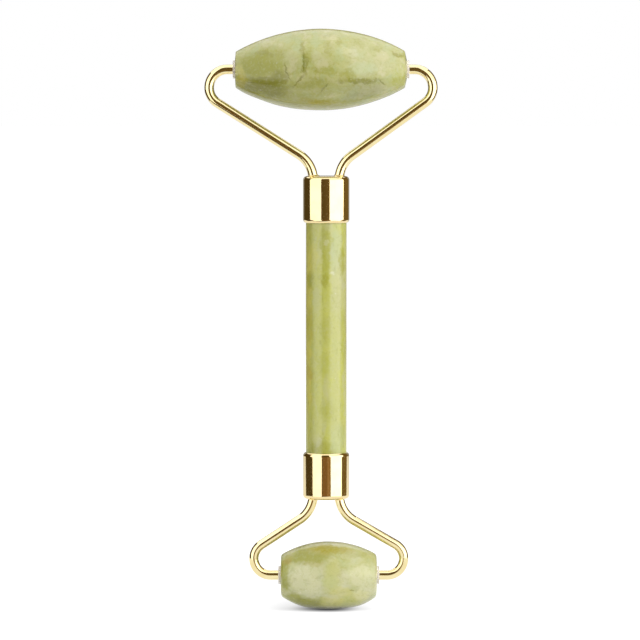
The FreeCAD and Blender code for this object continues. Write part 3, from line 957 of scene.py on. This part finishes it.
def direction(azimuth_deg, elevation_deg):
    """Azimuth 0 is towards the camera and 90 to the right."""
    azimuth, elevation = math.radians(azimuth_deg), math.radians(elevation_deg)
    return Vector((math.sin(azimuth) * math.cos(elevation), -math.cos(azimuth) * math.cos(elevation),
                   math.sin(elevation)))


def card(name, rows, radiance, colour=(1, 1, 1)):
    """A bright curved sheet that only reflections show. Each row is (elevation, azimuth from, azimuth to),
    in degrees as seen from the middle of the object."""
    columns = max(1, round(abs(rows[0][2] - rows[0][1]) / CARD_STEP_DEG))
    corners = []
    for elevation, start, end in rows:
        for i in range(columns + 1):
            azimuth = start + (end - start) * i / columns
            corners.append(MIDDLE + CARD_DISTANCE * direction(azimuth, elevation))
    faces = []
    for j in range(len(rows) - 1):
        for i in range(columns):
            first = j * (columns + 1) + i
            faces.append((first, first + 1, first + columns + 2, first + columns + 1))
    sheet = staged(name, corners, faces)
    sheet.data.materials.append(glow(f"{name}_glow", colour, radiance))
    shown_only_to(sheet, "glossy")


def floor():
    """A pale floor with a painted soft shadow near the object, and clean white farther out. Nothing
    mirrors it."""
    corners = rectangle(-FLOOR_REACH, FLOOR_REACH, -FLOOR_REACH, FLOOR_REACH)
    sheet = flat_sheet("floor", corners, FLOOR_Z)
    material = bpy.data.materials.new("white_sweep")
    tree = cleared(material)
    place = add_node(tree, "SeparateXYZ", Vector=add_node(tree, "TexCoord").outputs["Object"])

    def away(left, right, behind, before):
        """How far a place is from under the object, as a share of a shadow's reach on each side."""
        across = maths(tree, "SUBTRACT", place.outputs["X"], HEAD_AT["small"].x)
        shares = []
        for along, up, down in ((across, right, left), (place.outputs["Y"], behind, before)):
            shares.append(maths(tree, "MAXIMUM", maths(tree, "DIVIDE", along, up),
                                maths(tree, "DIVIDE", along, -down)))
        spot = add_node(tree, "CombineXYZ", X=shares[0], Y=shares[1])
        return vector_maths(tree, "LENGTH", spot.outputs[0])

    wide = away(left=0.027, right=0.018, behind=0.060, before=0.015)
    close = away(left=0.0108, right=0.0085, behind=0.024, before=0.0105)
    soft = ramped(tree, wide, 0.0, 1.0, to_low=0.50, to_high=1.02)
    contact = ramped(tree, close, 0.1, 1.0)
    strength = maths(tree, "MULTIPLY", soft, contact)
    lamp = add_node(tree, "Emission", Color=(1, 1, 1, 1), Strength=strength)
    paper = add_node(tree, "BsdfDiffuse", Color=(0.15, 0.15, 0.15, 1))
    both = add_node(tree, "AddShader")
    put(tree, both.inputs[0], lamp.outputs[0])
    put(tree, both.inputs[1], paper.outputs[0])
    add_node(tree, "OutputMaterial", Surface=both.outputs[0])
    sheet.data.materials.append(material)
    shown_only_to(sheet, "camera", "transmission", "shadow")


def reflected_surroundings():
    """What the polished gold and stone mirror: two softboxes and one overhead, the white sheet that the
    object stands on, the brown table in front of it, and the backdrop. The camera sees none of them."""
    left_rows = [(48, -25.5, -88), (0, -25.5, -88), (-10, -22.5, -71), (-26, -24, -60)]
    right_rows = [(20, 17, 96), (0, 17, 96), (-9, 23, 84), (-28, 24, 75)]
    card("left_card", left_rows, radiance=1.6)
    card("right_card", right_rows, radiance=2.15)
    card("right_upper_card", [(50, 17, 96), (20, 17, 96)], radiance=1.4)
    corners = rectangle(left=-0.60, right=0.40, near=-0.42, far=0.85)
    overhead = flat_sheet("overhead_card", corners, OVERHEAD_Z)
    overhead.data.materials.append(glow("overhead_glow", (1, 1, 1), 1.4))
    shown_only_to(overhead, "glossy")

    # The white sheet glows less towards the back, and its glow has a painted shadow under the object.
    sheet = flat_sheet("white_sheet", WHITE_SHEET, FLOOR_Z)
    material = glow("white_sheet_glow", (1, 1, 1), 1.0)
    tree = material.node_tree
    place = add_node(tree, "TexCoord").outputs["Object"]
    far = add_node(tree, "SeparateXYZ", Vector=place).outputs["Y"]
    under = vector_maths(tree, "LENGTH", vector_maths(tree, "MULTIPLY", place, (0.6, 1.0, 0.0)))
    dimmed = ramped(tree, far, 0.10, 0.70, to_low=1.0, to_high=0.6)
    # Painted shadow: the glow is darkened round the object's foot.
    shaded = ramped(tree, under, 0.001, 0.010, to_low=0.30)
    strength = maths(tree, "MULTIPLY", dimmed, shaded)
    put(tree, tree.nodes["Emission"].inputs["Strength"], strength)
    sheet.data.materials.append(material)
    shown_only_to(sheet, "glossy", "diffuse")

    card("backdrop_card", [(19, 145, 215), (-4, 145, 215)], radiance=0.35)
    card("wood_card", [(-5, -19, 4), (-16, -19, 4)], radiance=1.0, colour=(0.21, 0.11, 0.04))
    card("light_wood_card", [(-5, 5, 18), (-16, 5, 18)], radiance=1.0, colour=(0.30, 0.17, 0.07))


def aim(thing, target):
    thing.rotation_mode = "QUATERNION"
    thing.rotation_quaternion = (target - thing.location).to_track_quat("-Z", "Y")


def softbox(name, azimuth_deg, elevation_deg, distance, width, height, radiance):
    """A rectangular soft light that faces the object. The cards stand in for it in reflections."""
    light = bpy.data.lights.new(name, "AREA")
    light.shape = "RECTANGLE"
    light.size, light.size_y = width, height
    light.energy = radiance * math.pi * width * height
    box = add_object(name, light)
    box.location = MIDDLE + distance * direction(azimuth_deg, elevation_deg)
    aim(box, MIDDLE)
    box.visible_camera = False
    box.visible_glossy = False


def studio():
    floor()
    reflected_surroundings()
    softbox("left_softbox", -54, 6, distance=0.50, width=0.55, height=0.66, radiance=1.6)
    softbox("right_softbox", 56, 9, distance=0.50, width=0.76, height=0.78, radiance=2.7)
    softbox("top_softbox", 0, 78, distance=0.60, width=0.34, height=0.90, radiance=2.7)
    softbox("back_softbox", 180, 40, distance=0.80, width=0.9, height=0.5, radiance=1.2)

    # The room is dark and brown where the object mirrors it, and white where the camera sees it.
    world = bpy.data.worlds.new("room")
    bpy.context.scene.world = world
    tree = cleared(world)
    path = add_node(tree, "LightPath")
    seen = maths(tree, "MAXIMUM", path.outputs["Is Camera Ray"], path.outputs["Is Transmission Ray"])
    way = add_node(tree, "SeparateXYZ", Vector=add_node(tree, "TexCoord").outputs["Generated"])
    glimmer = ramped(tree, way.outputs["X"], -1.0, 1.0, to_low=0.07, to_high=0.17)
    dark = add_node(tree, "Background", Color=(1.0, 0.66, 0.21, 1), Strength=glimmer)
    white = add_node(tree, "Background", Color=(1, 1, 1, 1), Strength=1.0)
    either = add_node(tree, "MixShader")
    put(tree, either.inputs[0], seen)
    put(tree, either.inputs[1], dark.outputs[0])
    put(tree, either.inputs[2], white.outputs[0])
    add_node(tree, "OutputWorld", Surface=either.outputs[0])


def camera():
    """A long lens, a little above the object and square to the plane of the forks."""
    distance, field, elevation = 1.5, 0.160, math.radians(3)
    target = Vector((-0.00155, 0, 0.0044))
    data = bpy.data.cameras.new("camera")
    data.sensor_width = 36
    data.lens = data.sensor_width * distance / field
    data.clip_start, data.clip_end = 0.01, 30
    eye = add_object("camera", data)
    eye.location = target + distance * Vector((0, -math.cos(elevation), math.sin(elevation)))
    aim(eye, target)
    bpy.context.scene.camera = eye
    bpy.context.scene.view_settings.view_transform = "Standard"


build_roller()
studio()
camera()
